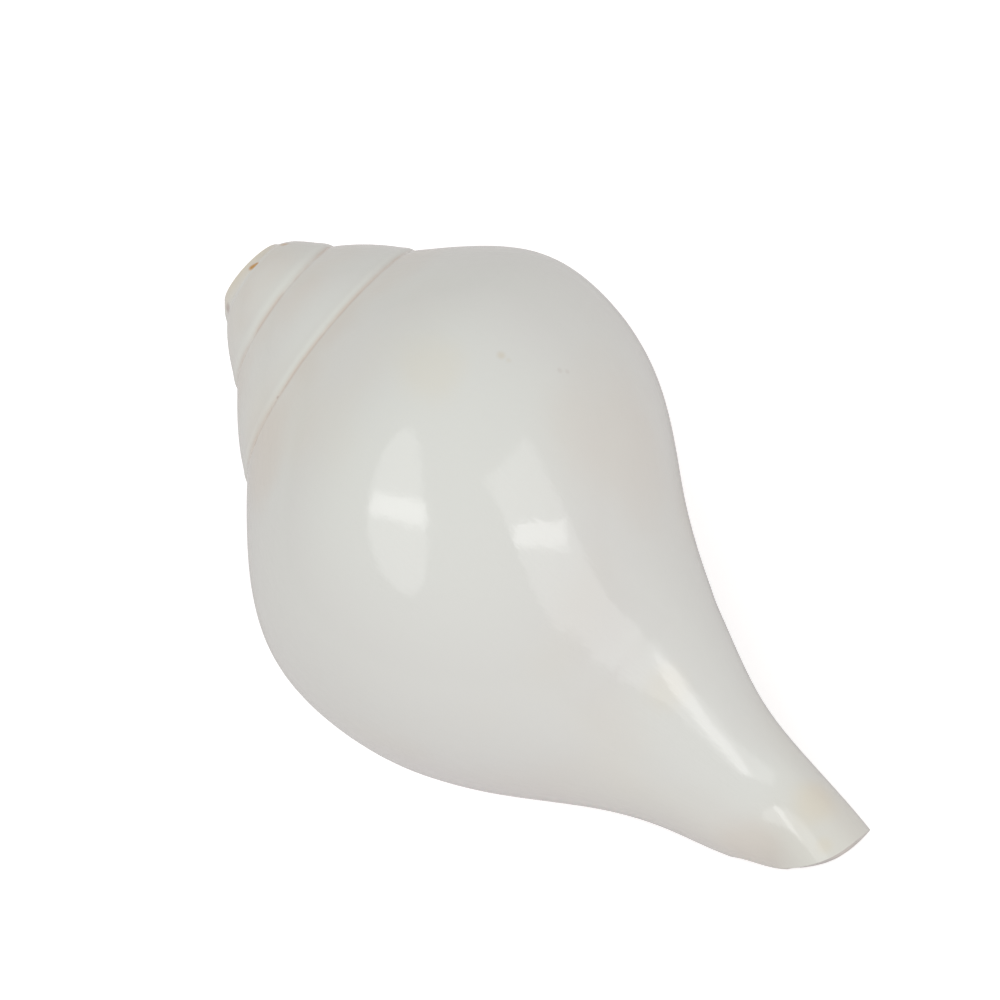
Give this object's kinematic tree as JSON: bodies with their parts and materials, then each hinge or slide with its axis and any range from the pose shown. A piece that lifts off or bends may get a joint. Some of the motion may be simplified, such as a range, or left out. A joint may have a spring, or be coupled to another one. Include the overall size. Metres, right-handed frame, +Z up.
{
  "type": "conch shell",
  "caption": "Polished spiral conch shell with a ground-off apex, wide side opening and short canal; blown as a trumpet or shown lying down.",
  "frame": {"origin": "on the surface the shell lies on, under the middle of its box", "axes": "+Z up; +X towards the canal end along the shell's length; the ground apex faces -X and the opening faces down"},
  "size_m": [0.1594, 0.0956, 0.0807],
  "materials": {
    "shell": "polished white shell with a porcelain gloss, faint cream and peach tints, tan seams"
  },
  "bodies": {
    "root": {"shell": "shell"}
  },
  "joints": []
}
